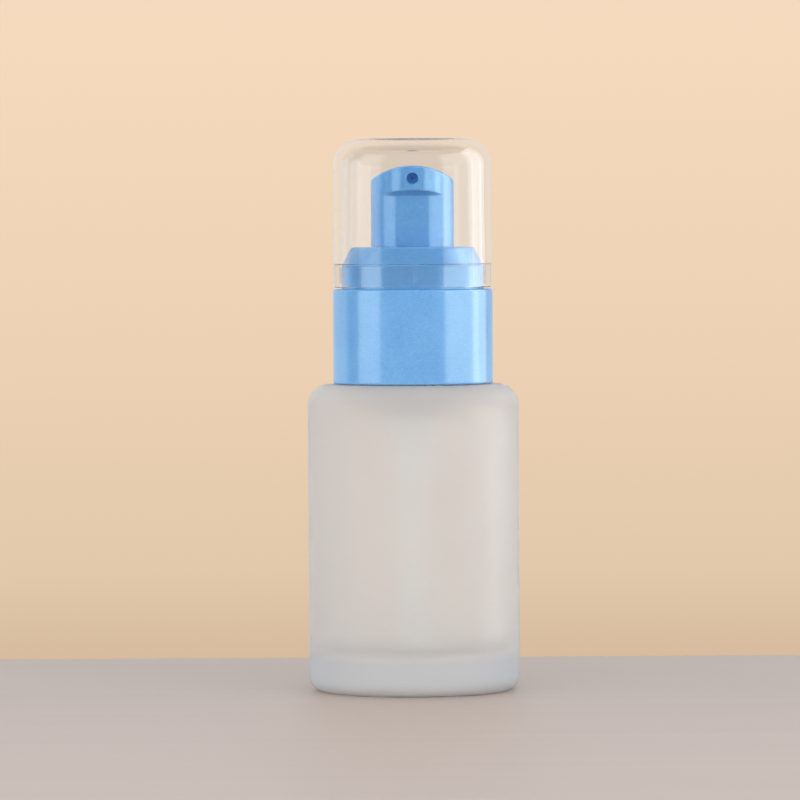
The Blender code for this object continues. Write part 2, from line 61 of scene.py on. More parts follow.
def srgb(text):
    # a hex colour such as "7fb2e0", turned to linear light
    share = np.array([int(text[i:i + 2], 16) for i in (0, 2, 4)]) / 255
    linear = np.where(share <= 0.04045, share / 12.92, ((share + 0.055) / 1.055) ** 2.4)
    return (*linear.tolist(), 1.0)


def addNode(tree, kind, settings=None, links=None):
    # a node with its settings and the sockets that feed it; a setting is a socket or a property
    node = tree.nodes.new(kind)
    for name, value in (settings or {}).items():
        if isinstance(name, int) or name in node.inputs:
            node.inputs[name].default_value = value
        else:
            setattr(node, name, value)
    for name, source in (links or {}).items():
        tree.links.new(source, node.inputs[name])
    return node


def newMaterial(name, settings):
    # a material with one Principled shader, its settings on the shader's own sockets
    material = bpy.data.materials.new(name)
    material.use_nodes = True
    tree = material.node_tree
    shader = tree.nodes["Principled BSDF"]
    for socket, value in settings.items():
        shader.inputs[socket].default_value = value
    return material, tree, shader


def roundProfile(corners, closed=False, arcSteps=7, longest=4.0):
    # corners are (radius, height, rounding) in mm; each becomes an arc tangent to both of its sides,
    # and each straight side gets points close to its ends, so that smooth shading stays flat there
    points = np.array([corner[:2] for corner in corners], float)
    count = len(points)
    out = []
    for i, corner in enumerate(corners):
        rounding = corner[2] if len(corner) > 2 else 0.0
        ends = not closed and i in (0, count - 1)
        if ends or rounding == 0:
            out.append([points[i], points[i]])
            continue
        before = points[i - 1] - points[i]
        after = points[(i + 1) % count] - points[i]
        before, after = before / np.linalg.norm(before), after / np.linalg.norm(after)
        half = math.acos(np.clip(before @ after, -1, 1)) / 2
        middle = (before + after) / np.linalg.norm(before + after)
        centre = points[i] + middle * rounding / math.sin(half)
        first = points[i] + before * rounding / math.tan(half) - centre
        last = points[i] + after * rounding / math.tan(half) - centre
        start, stop = math.atan2(first[1], first[0]), math.atan2(last[1], last[0])
        sweep = (stop - start + math.pi) % (2 * math.pi) - math.pi
        steps = max(3, round(arcSteps * abs(sweep) * 2 / math.pi))
        turn = start + sweep * np.linspace(0, 1, steps + 1)
        out.append(centre + rounding * np.stack([np.cos(turn), np.sin(turn)], 1))
    line = []
    shortest, nearest = 0.05, 0.15  # mm: a side without points of its own, and their distance from its ends
    for i, stretch in enumerate(out):
        line += list(stretch if len(stretch) > 2 else stretch[:1])
        if i == count - 1 and not closed:
            break
        start, stop = np.array(stretch[-1]), np.array(out[(i + 1) % count][0])
        length = np.linalg.norm(stop - start)
        near = min(nearest, 0.25 * length)
        shares = [near / length] if length > shortest else []
        inner = max(0, math.ceil((length - 2 * near) / longest) - 1)
        shares += [(near + (length - 2 * near) * (k + 1) / (inner + 1)) / length for k in range(inner)]
        shares += [1 - near / length] if length > shortest else []
        line += [start + (stop - start) * share for share in shares]
    return np.array(line)


def gridMesh(name, grid, closedRows=False, firstPole=False, lastPole=False):
    # a grid of points, rows by columns, whose columns close round; a pole row is one point
    rows, columns = grid.shape[:2]
    index = np.arange(rows * columns).reshape(rows, columns)  # which point each place of the grid uses
    if firstPole:
        index[0] = index[0, 0]
    if lastPole:
        index[-1] = index[-1, 0]
    used, flat = np.unique(index, return_inverse=True)
    index = flat.reshape(rows, columns)
    vertices = grid.reshape(-1, 3)[used]
    upper = index if closedRows else index[:-1]
    lower = np.roll(index, -1, 0) if closedRows else index[1:]
    quads = np.stack([upper, lower, np.roll(lower, -1, 1), np.roll(upper, -1, 1)], -1)
    first = quads[0][:, [0, 1, 2]] if firstPole else np.empty((0, 3), int)
    last = quads[-1][:, [0, 1, 3]] if lastPole else np.empty((0, 3), int)
    quads = quads[int(firstPole):len(quads) - int(lastPole)].reshape(-1, 4)
    triangles = np.concatenate([first, last, quads[:, [0, 1, 2]], quads[:, [0, 2, 3]]])
    corner = vertices[triangles]
    volume = np.einsum("ij,ij->i", corner[:, 0], np.cross(corner[:, 1], corner[:, 2])).sum()
    faces = quads.tolist() + first.tolist() + last.tolist()
    if volume < 0:  # faces point outwards
        faces = [face[::-1] for face in faces]
    mesh = bpy.data.meshes.new(name)
    mesh.from_pydata(vertices.tolist(), [], faces)
    mesh.validate()
    mesh.shade_smooth()
    obj = bpy.data.objects.new(name, mesh)
    bpy.context.scene.collection.objects.link(obj)
    return obj


def turnedPiece(name, profile, sides, closed=False, reshape=None):
    # point = (r cos a, r sin a, z) for every profile point (r, z) and every angle a;
    # reshape may move the radius by angle and height, for ribs and threads
    angle = np.linspace(0, 2 * np.pi, sides, endpoint=False)[None, :]
    radius = np.repeat(profile[:, :1], sides, 1)
    height = np.repeat(profile[:, 1:], sides, 1)
    if reshape:
        radius = reshape(angle, radius, height)
    grid = np.stack([radius * np.cos(angle), radius * np.sin(angle), height], -1) * mm
    poles = {"firstPole": profile[0, 0] < 1e-6, "lastPole": profile[-1, 0] < 1e-6}
    return gridMesh(name, grid, closed, **({} if closed else poles))


def faceCentres(obj):
    # the middle of every face, in millimetres
    centre = np.empty(len(obj.data.polygons) * 3)
    obj.data.polygons.foreach_get("center", centre)
    return centre.reshape(-1, 3) / mm


def finishPiece(obj, body, node, materials, second=None):
    # the piece rides on a body, stands for a CAD node and takes its materials; the faces that second
    # marks take the second material
    for material in materials:
        obj.data.materials.append(material)
    if second is not None:
        obj.data.polygons.foreach_set("material_index", second.astype(int).tolist())
    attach(obj, body)
    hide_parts(node)


# materials

def pearlPolypropylene():
    # injection-moulded polypropylene with titania-coated mica: satin, with a faint sparkle and soft wide
    # highlights, stronger than bare plastic gives
    look = {"deep": "4f92d3", "light": "67aae5", "sparkle": 0.13, "cloud": 9.0, "moulding": 0.5,
            "smoothest": 0.14, "roughest": 0.24}  # sparkle, cloud and moulding are widths in mm
    material, tree, shader = newMaterial("pearlPolypropylene", {
        "Roughness": 0.19, "IOR": 2.5, "Specular Tint": srgb("e8ffff")})
    place = addNode(tree, "ShaderNodeTexCoord")
    flake = addNode(tree, "ShaderNodeTexVoronoi", {"Scale": 1 / (look["sparkle"] * mm)},
                    {"Vector": place.outputs["Object"]})  # mica flakes, drawn larger than their 0.03 mm
    cloud = addNode(tree, "ShaderNodeTexNoise", {"Scale": 1 / (look["cloud"] * mm), "Detail": 3.0},
                    {"Vector": place.outputs["Object"]})
    part = addNode(tree, "ShaderNodeSeparateColor", None, {"Color": flake.outputs["Color"]})
    share = addNode(tree, "ShaderNodeMath", {"operation": "MULTIPLY_ADD", 1: 0.5},
                    {0: part.outputs["Red"], 2: cloud.outputs["Fac"]})
    tint = addNode(tree, "ShaderNodeValToRGB", None, {"Fac": share.outputs[0]})
    tint.color_ramp.elements[0].position = 0.3
    tint.color_ramp.elements[0].color = srgb(look["deep"])
    tint.color_ramp.elements[1].position = 1.1
    tint.color_ramp.elements[1].color = srgb(look["light"])
    tree.links.new(tint.outputs["Color"], shader.inputs["Base Color"])
    rough = addNode(tree, "ShaderNodeMapRange", {"To Min": look["smoothest"], "To Max": look["roughest"]},
                    {"Value": part.outputs["Green"]})
    tree.links.new(rough.outputs[0], shader.inputs["Roughness"])
    fine = addNode(tree, "ShaderNodeTexNoise", {"Scale": 1 / (look["moulding"] * mm), "Detail": 4.0},
                   {"Vector": place.outputs["Object"]})
    bump = addNode(tree, "ShaderNodeBump", {"Strength": 0.08, "Distance": 0.00002},
                   {"Height": fine.outputs["Fac"]})
    tree.links.new(bump.outputs["Normal"], shader.inputs["Normal"])
    return material


def frostedGlass():
    # acid-etched soda-lime glass: a milky haze with a fine matt grain, and no sharp reflections; the solid
    # foot has a painted shade, a darker and bluer tint
    look = {"grain": 0.35, "cloud": 14.0, "dark": "efeceb", "light": "f5f2f1",
            "footPaintedShade": "dee3ea", "footTop": 5.6, "footEnd": 7.2, "smoothest": 0.5, "roughest": 0.62}
    material, tree, shader = newMaterial("frostedSodaLime", {
        "Base Color": srgb("f2efee"), "Roughness": 0.55, "IOR": 1.52, "Transmission Weight": 0.6})
    place = addNode(tree, "ShaderNodeTexCoord")
    grain = addNode(tree, "ShaderNodeTexNoise", {"Scale": 1 / (look["grain"] * mm), "Detail": 5.0},
                    {"Vector": place.outputs["Object"]})  # etched grain, drawn coarser than its 0.02 mm
    cloud = addNode(tree, "ShaderNodeTexNoise", {"Scale": 1 / (look["cloud"] * mm), "Detail": 2.0},
                    {"Vector": place.outputs["Object"]})
    rough = addNode(tree, "ShaderNodeMapRange", {"To Min": look["smoothest"], "To Max": look["roughest"]},
                    {"Value": cloud.outputs["Fac"]})
    tree.links.new(rough.outputs[0], shader.inputs["Roughness"])
    tint = addNode(tree, "ShaderNodeValToRGB", None, {"Fac": cloud.outputs["Fac"]})
    tint.color_ramp.elements[0].color = srgb(look["dark"])
    tint.color_ramp.elements[1].color = srgb(look["light"])
    part = addNode(tree, "ShaderNodeSeparateXYZ", None, {"Vector": place.outputs["Object"]})
    # painted shade: the base colour is darker and bluer in the solid foot and blends out between footTop and
    # footEnd, standing in for the shade of the thick glass there
    foot = addNode(tree, "ShaderNodeMapRange",
                   {"From Min": look["footTop"] * mm, "From Max": look["footEnd"] * mm},
                   {"Value": part.outputs["Z"]})  # 0 in the solid foot, 1 above it
    body = addNode(tree, "ShaderNodeMix", {"data_type": "RGBA", 6: srgb(look["footPaintedShade"])},
                   {0: foot.outputs[0], 7: tint.outputs["Color"]})
    tree.links.new(body.outputs[2], shader.inputs["Base Color"])
    bump = addNode(tree, "ShaderNodeBump", {"Strength": 0.25, "Distance": 0.00003},
                   {"Height": grain.outputs["Fac"]})
    tree.links.new(bump.outputs["Normal"], shader.inputs["Normal"])
    return material


def polishedGlass():
    # the fire-polished inside of the same soda-lime glass: clear, with the slow waves of blown glass
    look = {"wave": 7.0, "smoothest": 0.03, "roughest": 0.09}
    material, tree, shader = newMaterial("polishedSodaLime", {
        "Base Color": srgb("f1f6f4"), "Roughness": 0.06, "IOR": 1.52, "Transmission Weight": 1.0})
    place = addNode(tree, "ShaderNodeTexCoord")
    wave = addNode(tree, "ShaderNodeTexNoise", {"Scale": 1 / (look["wave"] * mm), "Detail": 1.0},
                   {"Vector": place.outputs["Object"]})
    rough = addNode(tree, "ShaderNodeMapRange", {"To Min": look["smoothest"], "To Max": look["roughest"]},
                    {"Value": wave.outputs["Fac"]})
    tree.links.new(rough.outputs[0], shader.inputs["Roughness"])
    bump = addNode(tree, "ShaderNodeBump", {"Strength": 0.1, "Distance": 0.0001},
                   {"Height": wave.outputs["Fac"]})
    tree.links.new(bump.outputs["Normal"], shader.inputs["Normal"])
    return material


def clearAcrylonitrile():
    # styrene acrylonitrile, injection moulded and polished: water clear, with a faint cool body and
    # a few duller spots where it has been handled
    look = {"flow": 5.0, "scuff": 0.6, "smoothest": 0.02, "roughest": 0.07}
    material, tree, shader = newMaterial("clearStyreneAcrylonitrile", {
        "Base Color": srgb("f6fafe"), "Roughness": 0.02, "IOR": 1.57, "Transmission Weight": 1.0,
        "Specular Tint": srgb("dcdee0")})
    place = addNode(tree, "ShaderNodeTexCoord")
    flow = addNode(tree, "ShaderNodeTexNoise", {"Scale": 1 / (look["flow"] * mm), "Detail": 1.5},
                   {"Vector": place.outputs["Object"]})
    scuff = addNode(tree, "ShaderNodeTexNoise", {"Scale": 1 / (look["scuff"] * mm), "Detail": 5.0},
                    {"Vector": place.outputs["Object"]})
    rough = addNode(tree, "ShaderNodeMapRange", {"From Min": 0.45, "From Max": 0.8,
                    "To Min": look["smoothest"], "To Max": look["roughest"]}, {"Value": scuff.outputs["Fac"]})
    tree.links.new(rough.outputs[0], shader.inputs["Roughness"])
    bump = addNode(tree, "ShaderNodeBump", {"Strength": 0.03, "Distance": 0.00006},
                   {"Height": flow.outputs["Fac"]})
    tree.links.new(bump.outputs["Normal"], shader.inputs["Normal"])
    return material


def mouldedPlastic(name, settings, dark, light, grain):
    # moulded polypropylene or polyethylene: waxy, with a cloudy tint whose patches are grain mm wide;
    # where it has no pigment, light is carried a little way inside
    material, tree, shader = newMaterial(name, settings)
    place = addNode(tree, "ShaderNodeTexCoord")
    haze = addNode(tree, "ShaderNodeTexNoise", {"Scale": 1 / (grain * mm), "Detail": 4.0},
                   {"Vector": place.outputs["Object"]})
    tint = addNode(tree, "ShaderNodeValToRGB", None, {"Fac": haze.outputs["Fac"]})
    tint.color_ramp.elements[0].color = srgb(dark)
    tint.color_ramp.elements[1].color = srgb(light)
    tree.links.new(tint.outputs["Color"], shader.inputs["Base Color"])
    bump = addNode(tree, "ShaderNodeBump", {"Strength": 0.1, "Distance": 0.00005},
                   {"Height": haze.outputs["Fac"]})
    tree.links.new(bump.outputs["Normal"], shader.inputs["Normal"])
    return material


def springSteel():
    # drawn stainless wire and a ground steel ball: bright metal, unevenly smooth where the tool ran
    look = {"draw": 0.2, "smoothest": 0.18, "roughest": 0.32}
    material, tree, shader = newMaterial("stainlessSteel", {
        "Base Color": srgb("b9b9b7"), "Metallic": 1.0, "Roughness": 0.24})
    place = addNode(tree, "ShaderNodeTexCoord")
    line = addNode(tree, "ShaderNodeTexNoise", {"Scale": 1 / (look["draw"] * mm), "Detail": 3.0},
                   {"Vector": place.outputs["Object"]})
    rough = addNode(tree, "ShaderNodeMapRange", {"To Min": look["smoothest"], "To Max": look["roughest"]},
                    {"Value": line.outputs["Fac"]})
    tree.links.new(rough.outputs[0], shader.inputs["Roughness"])
    return material


bluePearl = pearlPolypropylene()
frosted = frostedGlass()
polished = polishedGlass()
clearCap = clearAcrylonitrile()
whitePart = mouldedPlastic("naturalPolypropylene", {"Roughness": 0.38, "IOR": 1.49, "Subsurface Weight": 0.2,
                           "Subsurface Scale": 0.001}, "e2e4e2", "f1f2ef", 2.0)
softPart = mouldedPlastic("naturalPolyethylene", {"Roughness": 0.45, "IOR": 1.51, "Subsurface Weight": 0.4,
                          "Subsurface Scale": 0.0015}, "dfe3e3", "eff1f0", 1.5)
# painted shade: a more saturated blue for the nozzle's recess and orifice, standing in for the deep blue of
# the shaded hole
recessShadeBlue = mouldedPlastic("recessShadeBluePolypropylene", {"Roughness": 0.4, "IOR": 1.49}, "009adf", "08a6ea", 1.0)
steel = springSteel()
print("materials made")


# bottle

bottle = {"sides": 256, "wall": 2.8, "floor": 6.5, "floorRound": 3.2, "roof": 3.0, "roofRound": 3.0,
          "shoulder": 52.3, "shoulderRound": 3.5, "baseRound": 2.4, "pushUp": 12.5, "pushUpDepth": 0.5,
          "dome": 0.15, "neck": 8.95, "neckRound": 0.8, "bore": 6.6, "boreRound": 1.5, "lipRound": 0.6,
          "bead": 9.7, "beadHeight": 55.2, "beadHalf": 0.45, "beadFoot": 0.9,
          "threadStart": 58.6, "pitch": 3.0, "turns": 1.3, "ridge": 0.9, "ridgeHalf": 0.8, "rowStep": 0.12}


def bottleRidge(angle, radius, height):
    # the thread stands out where the height is within half a ridge of the helix start + pitch * turns,
    # as a half ellipse, and it fades in and out over a fifth of its length
    lift = np.zeros_like(radius)
    for lap in range(2):
        turns = angle / (2 * np.pi) + lap
        share = turns / bottle["turns"]
        fade = np.clip(5 * share, 0, 1) * np.clip(5 * (1 - share), 0, 1)
        away = (height - bottle["threadStart"] - bottle["pitch"] * turns) / bottle["ridgeHalf"]
        lift = np.maximum(lift, bottle["ridge"] * fade * np.sqrt(np.clip(1 - away ** 2, 0, 1)))
    return radius + np.where(np.abs(radius - bottle["neck"]) < 0.05, lift, 0)


def makeBottle():
    low, high = boxOf("glass_bottle")
    outer, top = high[0], high[2]
    inner = outer - bottle["wall"]
    roof = bottle["shoulder"] - bottle["roof"]
    neck, bead, beadZ = bottle["neck"], bottle["bead"], bottle["beadHeight"]
    half, foot = bottle["beadHalf"], bottle["beadFoot"]
    pushUp, depth = bottle["pushUp"], bottle["pushUpDepth"]
    inside = [(0, bottle["floor"]), (inner, bottle["floor"], bottle["floorRound"]),
              (inner, roof, bottle["roofRound"]), (bottle["bore"], roof, bottle["boreRound"]),
              (bottle["bore"], top, bottle["lipRound"]), (neck, top, bottle["lipRound"])]
    outside = [(neck, beadZ + foot, 0.4), (bead, beadZ + half, 0.35), (bead, beadZ - half, 0.35),
               (neck, beadZ - foot, 0.4), (neck, bottle["shoulder"], bottle["neckRound"]),
               (outer, bottle["shoulder"], bottle["shoulderRound"]), (outer, 0, bottle["baseRound"]),
               (pushUp, 0, 0.2), (pushUp - depth, depth, 0.3), (0, depth + bottle["dome"])]
    profile = roundProfile(inside + outside, arcSteps=10)
    # the neck between the lip's rounding and the bead gets close rows, fine enough for the thread
    lip = np.argmax(profile[:, 1] > top - 1e-6)
    onNeck = np.arange(len(profile)) > lip
    underLip = profile[:, 1] < top - bottle["lipRound"] - 0.1
    split = np.argmax(onNeck & underLip & (np.abs(profile[:, 0] - neck) < 0.01))
    stop = np.argmax(onNeck & (profile[:, 1] < beadZ + foot + 0.5))
    rows = np.arange(profile[split, 1], profile[stop, 1], -bottle["rowStep"])
    thread = np.stack([np.full_like(rows, neck), rows], 1)
    profile = np.concatenate([profile[:split], thread, profile[stop:]])
    obj = turnedPiece("bottleGlass", profile, bottle["sides"], reshape=bottleRidge)
    centre = faceCentres(obj)
    reach, height = np.hypot(centre[:, 0], centre[:, 1]), centre[:, 2]
    within = (reach < inner + 0.01) & (height < roof + 0.01)  # the hollow, then the neck's bore
    within |= reach < bottle["bore"] + 0.3
    within &= height > bottle["floor"] - 0.01
    finishPiece(obj, "bottle", "glass_bottle", [frosted, polished], within)


makeBottle()
print("bottle made")


# collar

collar = {"sides": 256, "cavity": 12.6, "ledge": 68.5, "plate": 67.3, "ring": 12.15, "ringSide": 72.3,
          "ringTop": 10.5, "ringRoof": 9.2, "ringCavity": 10.9, "hole": 7.5, "roof": 1.2, "edge": 0.3,
          "skirtDrop": 0.28}  # the skirt hides the gap over the shoulder that the CAD piece keeps


def makeCollar():
    low, high = boxOf("collar_sleeve")
    outer, bottom, top = high[0], low[2] - collar["skirtDrop"], high[2]
    roof, side, ledge, plate = top - collar["roof"], collar["ringSide"], collar["ledge"], collar["plate"]
    inside = [(collar["cavity"], bottom, 0.1), (collar["cavity"], plate, 0.1),
              (collar["ringCavity"], plate, 0.1), (collar["ringCavity"], side, collar["edge"]),
              (collar["ringRoof"], roof, collar["edge"]), (collar["hole"], roof, 0.1)]
    outside = [(collar["hole"], top, 0.35), (collar["ringTop"], top, 0.6), (collar["ring"], side, 0.7),
               (collar["ring"], ledge, 0.1), (outer, ledge, collar["edge"]), (outer, bottom, collar["edge"])]
    profile = roundProfile(inside + outside, closed=True)
    obj = turnedPiece("collarShell", profile, collar["sides"], closed=True)
    finishPiece(obj, "pump_unit", "collar_sleeve", [bluePearl])


makeCollar()
print("collar made")


# overcap

cap = {"sides": 360, "topRadius": 13.35, "round": 4.4, "skirtBore": 12.5, "step": 72.7, "stepRise": 0.1,
       "bore": 12.38, "topBore": 12.0, "roof": 92.9, "innerRound": 3.2, "gate": 1.0, "gateDepth": 0.25,
       "ribs": 4, "ribProud": 0.2, "ribHalf": 1.6, "ribTurn": 2.3, "ribStart": 0.35, "ribFade": 0.3}


def capRibs(angle, radius, height):
    # each rib is a raised cosine across its angle, only on the skirt's inner wall between the rim and
    # the step; ribHalf and ribTurn are degrees
    spacing = 360 / cap["ribs"]
    away = (np.degrees(angle) + 90 - cap["ribTurn"] + spacing / 2) % spacing - spacing / 2
    across = np.where(np.abs(away) < cap["ribHalf"], 0.5 + 0.5 * np.cos(np.pi * away / cap["ribHalf"]), 0)
    start, stop = boxOf("overcap")[0][2] + cap["ribStart"], cap["step"] - cap["stepRise"]
    along = np.clip((height - start) / cap["ribFade"], 0, 1) * np.clip((stop - height) / cap["ribFade"], 0, 1)
    wall = np.abs(radius - cap["skirtBore"]) < 0.02
    return radius - np.where(wall, cap["ribProud"] * across * along, 0)


def makeCap():
    low, high = boxOf("overcap")
    outer, rim, top = high[0], low[2], high[2]
    dimple = cap["roof"] + cap["gateDepth"]  # the gate mark, a small hollow in the roof
    corners = [(0, top), (cap["topRadius"], top, cap["round"]), (outer, rim, 0.3),
               (cap["skirtBore"], rim, 0.2), (cap["skirtBore"], cap["step"], 0.05),
               (cap["bore"], cap["step"] + cap["stepRise"], 0.05),
               (cap["topBore"], cap["roof"], cap["innerRound"]), (cap["gate"], cap["roof"], 0.12),
               (cap["gate"] - 0.15, dimple, 0.1), (0, dimple)]
    profile = roundProfile(corners, arcSteps=12, longest=0.5)
    obj = turnedPiece("overcapShell", profile, cap["sides"], reshape=capRibs)
    finishPiece(obj, "overcap", "overcap", [clearCap])


makeCap()
print("overcap made")


# push button

button = {"sides": 256, "radius": 7.1, "arch": 12.0, "noseRadius": 5.0, "noseBack": 3.3, "rimTip": 85.2,
          "rimFall": 0.024, "root": 84.4, "topRound": 0.35, "rimRound": 0.22, "blend": 0.12, "fillet": 0.08,
          "proudRange": 0.5,
          "wall": 1.1, "roof": 84.0, "socket": 3.1, "socketLow": 74.8, "bore": 2.2, "boreTop": 82.3,
          "nozzle": 0.97, "nozzleHeight": 87.3, "nozzleDepth": 2.2, "orifice": 0.17, "channel": 0.8,
          "channelLow": 82.0, "channelTop": 87.3, "crownRows": 26, "drillSides": 48}


def buttonRows(angle, top):
    # rows of (radius, height) from the crown's centre over the arch, down the nose's front, back under it,
    # down the round body, and up the hollow inside; the nose is a second circle in plan
    radius = button["radius"]
    along = -button["noseBack"] * np.sin(angle)
    nose = along + np.sqrt(along ** 2 - button["noseBack"] ** 2 + button["noseRadius"] ** 2)
    soft = button["blend"]
    steep = np.clip((nose - radius) / soft, -40, 40)  # the exponential stays within range
    outline = radius + soft * np.log1p(np.exp(steep))  # a soft step from the body out to the nose
    outline = np.minimum(outline, np.maximum(nose, radius) + button["fillet"])
    proud = np.clip((outline - radius) / button["proudRange"], 0, 1)  # 1 where the nose stands out
    across = np.cos(angle)

    def crown(reach):
        return top - button["arch"] + np.sqrt(button["arch"] ** 2 - (reach * across) ** 2)

    rows = []
    edge = button["topRound"]
    for share in np.linspace(0, 1, button["crownRows"]):
        reach = (outline - edge) * share
        rows.append((reach, crown(reach)))
    for turn in np.linspace(0, np.pi / 2, 8)[1:]:
        reach = outline - edge + edge * np.sin(turn)
        rows.append((reach, crown(reach) - edge * (1 - np.cos(turn))))
    rim = button["rimTip"] - button["rimFall"] * (outline * across) ** 2
    rim = np.maximum(rim, button["root"] + 0.05)
    lip = button["rimRound"]
    high = rows[-1][1]
    for share in np.linspace(0, 1, 10)[1:]:
        rows.append((outline, high + (rim + lip - high) * share))
    for turn in np.linspace(0, np.pi / 2, 6)[1:]:
        rows.append((outline - proud * lip * (1 - np.cos(turn)), rim + lip * (1 - np.sin(turn))))
    start = outline - proud * lip
    for share in (0.25, 0.5, 0.75, 0.9, 1.0):
        rows.append((start + (radius - start) * share, rim + (button["root"] - rim) * share))
    return rows


def makeButton():
    low, high = boxOf("actuator_button")
    bottom, top = low[2], high[2]
    angle = np.linspace(0, 2 * np.pi, button["sides"], endpoint=False)
    rows = buttonRows(angle, top)
    radius, inner = button["radius"], button["radius"] - button["wall"]
    lower = [(radius, button["root"] - 0.1), (radius, bottom, 0.3), (inner, bottom, 0.2),
             (inner, button["roof"], 0.4), (button["socket"], button["roof"], 0.3),
             (button["socket"], button["socketLow"], 0.2), (button["bore"], button["socketLow"], 0.2),
             (button["bore"], button["boreTop"], 0.1), (0, button["boreTop"])]
    rows += [(np.full_like(angle, r), np.full_like(angle, z)) for r, z in roundProfile(lower)]
    reach = np.array([row[0] for row in rows])
    height = np.array([row[1] for row in rows])
    grid = np.stack([reach * np.cos(angle), reach * np.sin(angle), height], -1) * mm
    obj = gridMesh("pushButton", grid, firstPole=True, lastPole=True)
    drillHoles(obj)
    centre = faceCentres(obj)
    # the recess and orifice faces take the painted-shade blue
    within = np.hypot(centre[:, 0], centre[:, 2] - button["nozzleHeight"]) < button["nozzle"] + 0.002
    within &= centre[:, 1] < -button["channel"] - 0.05  # the recess and the orifice
    finishPiece(obj, "button", "actuator_button", [bluePearl, recessShadeBlue], within)


def drillHoles(obj):
    # the nozzle is a round recess in the nose's front; a narrow orifice runs on from it, past the axis,
    # and meets the channel that rises from the stem
    height, front = button["nozzleHeight"], -button["noseBack"] - button["noseRadius"]
    recessEnd, recessLong, past = front + button["nozzleDepth"], 4, 0.5
    low, high = button["channelLow"], button["channelTop"]
    holes = [(button["nozzle"], (0, recessEnd - recessLong / 2, height), recessLong, math.pi / 2),
             (button["orifice"], (0, front / 2, height), -front + past, math.pi / 2),
             (button["channel"], (0, 0, (low + high) / 2), high - low, 0)]
    cutters = []
    sides = button["drillSides"]
    for radius, middle, length, turn in holes:
        bpy.ops.mesh.primitive_cylinder_add(vertices=sides, radius=radius * mm, depth=length * mm)
        cutter = bpy.context.object
        cutter.location = [value * mm for value in middle]
        cutter.rotation_euler.x = turn
        hole = obj.modifiers.new("hole", "BOOLEAN")
        hole.object = cutter
        hole.operation = "DIFFERENCE"
        cutters.append(cutter)
    bpy.context.view_layer.update()
    graph = bpy.context.evaluated_depsgraph_get()
    mesh = bpy.data.meshes.new_from_object(obj.evaluated_get(graph))
    obj.modifiers.clear()
    obj.data = mesh
    mesh.shade_smooth()
    mesh.set_sharp_from_angle(angle=math.radians(42))
    for cutter in cutters:
        bpy.data.objects.remove(cutter)


makeButton()
print("button made")


# spring

spring = {"radius": 2.35, "wire": 0.3, "turns": 7, "steps": 40, "around": 12, "dead": 0.8}


def makeSpring():
    # a tube carried along a helix: centre = (R cos t, R sin t, rise(t)), whose first and last turns lie flat
    low, high = boxOf("return_spring")
    bottom, top = low[2] + spring["wire"], high[2] - spring["wire"]
    share = np.linspace(0, 1, spring["turns"] * spring["steps"] + 1)
    dead = spring["dead"] / spring["turns"]
    rise = np.clip((share - dead) / (1 - 2 * dead), 0, 1)
    flat = 2 * spring["wire"] * (np.clip(share / dead, 0, 1) + np.clip((share - 1 + dead) / dead, 0, 1))
    height = bottom + flat + rise * (top - bottom - 4 * spring["wire"])
    turn = 2 * np.pi * spring["turns"] * share
    around = np.linspace(0, 2 * np.pi, spring["around"], endpoint=False)[None, :]
    ends = np.minimum(share, 1 - share) * len(share)
    wire = spring["wire"] * np.where(ends < 0.5, 0.02, 1)[:, None]
    reach = spring["radius"] + wire * np.cos(around)
    grid = np.stack([reach * np.cos(turn)[:, None], reach * np.sin(turn)[:, None],
                     height[:, None] + wire * np.sin(around)], -1) * mm
    obj = gridMesh("springWire", grid, firstPole=True, lastPole=True)
    finishPiece(obj, "pump_unit", "return_spring", [steel])
    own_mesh(obj)


makeSpring()
print("spring made")


# carried-over CAD parts

carried = {"screw_closure": whitePart, "pump_housing": whitePart, "housing_cap": whitePart,
           "piston_stem": whitePart, "piston_retainer": whitePart, "ball_cage": whitePart,
           "neck_gasket": softPart, "stem_wiper": softPart, "piston": softPart, "dip_tube": softPart,
           "inlet_ball": steel}
for name, material in carried.items():
    nodes[name].data.materials.clear()
    nodes[name].data.materials.append(material)
print("carried parts finished")


# floor, world, lights and camera

stage = {"backEdge": 70.0, "width": 3000.0, "depth": 3000.0, "edgeRound": 1.5, "drop": 40.0,
         "middle": 55.0, "dark": "bcaca3", "light": "c4b4ab", "streak": (6.0, 160.0, 6.0)}


def makeFloor():
    # a pale tabletop whose far edge is a little way behind the bottle: a line in depth and height, whose
    # edge is a quarter circle (y, z) = (back - r + r sin t, -r + r cos t), drawn out to both sides
    span, back, front, edge = stage["width"] / 2, stage["backEdge"], -stage["depth"], stage["edgeRound"]
    turn = np.linspace(0, np.pi / 2, 7)
    line = [(front, 0.0)]
    line += zip(back - edge + edge * np.sin(turn), -edge + edge * np.cos(turn))
    line += [(back, -stage["drop"])]
    grid = np.array([[(side, y, z) for side in (-span, span)] for y, z in line]) * mm
    count = len(line)
    faces = [[2 * i, 2 * i + 1, 2 * i + 3, 2 * i + 2] for i in range(count - 1)]
    mesh = bpy.data.meshes.new("floor")
    mesh.from_pydata(grid.reshape(-1, 3).tolist(), [], faces)
    mesh.shade_smooth()
    floor = bpy.data.objects.new("floor", mesh)
    bpy.context.scene.collection.objects.link(floor)
    # laminated board: matt, with faint streaks from side to side
    material, tree, shader = newMaterial("paleTabletop", {"Roughness": 0.5})
    place = addNode(tree, "ShaderNodeTexCoord")
    stretch = addNode(tree, "ShaderNodeMapping", {"Scale": stage["streak"]},
                      {"Vector": place.outputs["Object"]})  # streaks to the metre
    streak = addNode(tree, "ShaderNodeTexNoise", {"Scale": 1.0, "Detail": 3.0},
                     {"Vector": stretch.outputs["Vector"]})
    tint = addNode(tree, "ShaderNodeValToRGB", None, {"Fac": streak.outputs["Fac"]})
    tint.color_ramp.elements[0].color = srgb(stage["dark"])
    tint.color_ramp.elements[1].color = srgb(stage["light"])
    tree.links.new(tint.outputs["Color"], shader.inputs["Base Color"])
    mesh.materials.append(material)


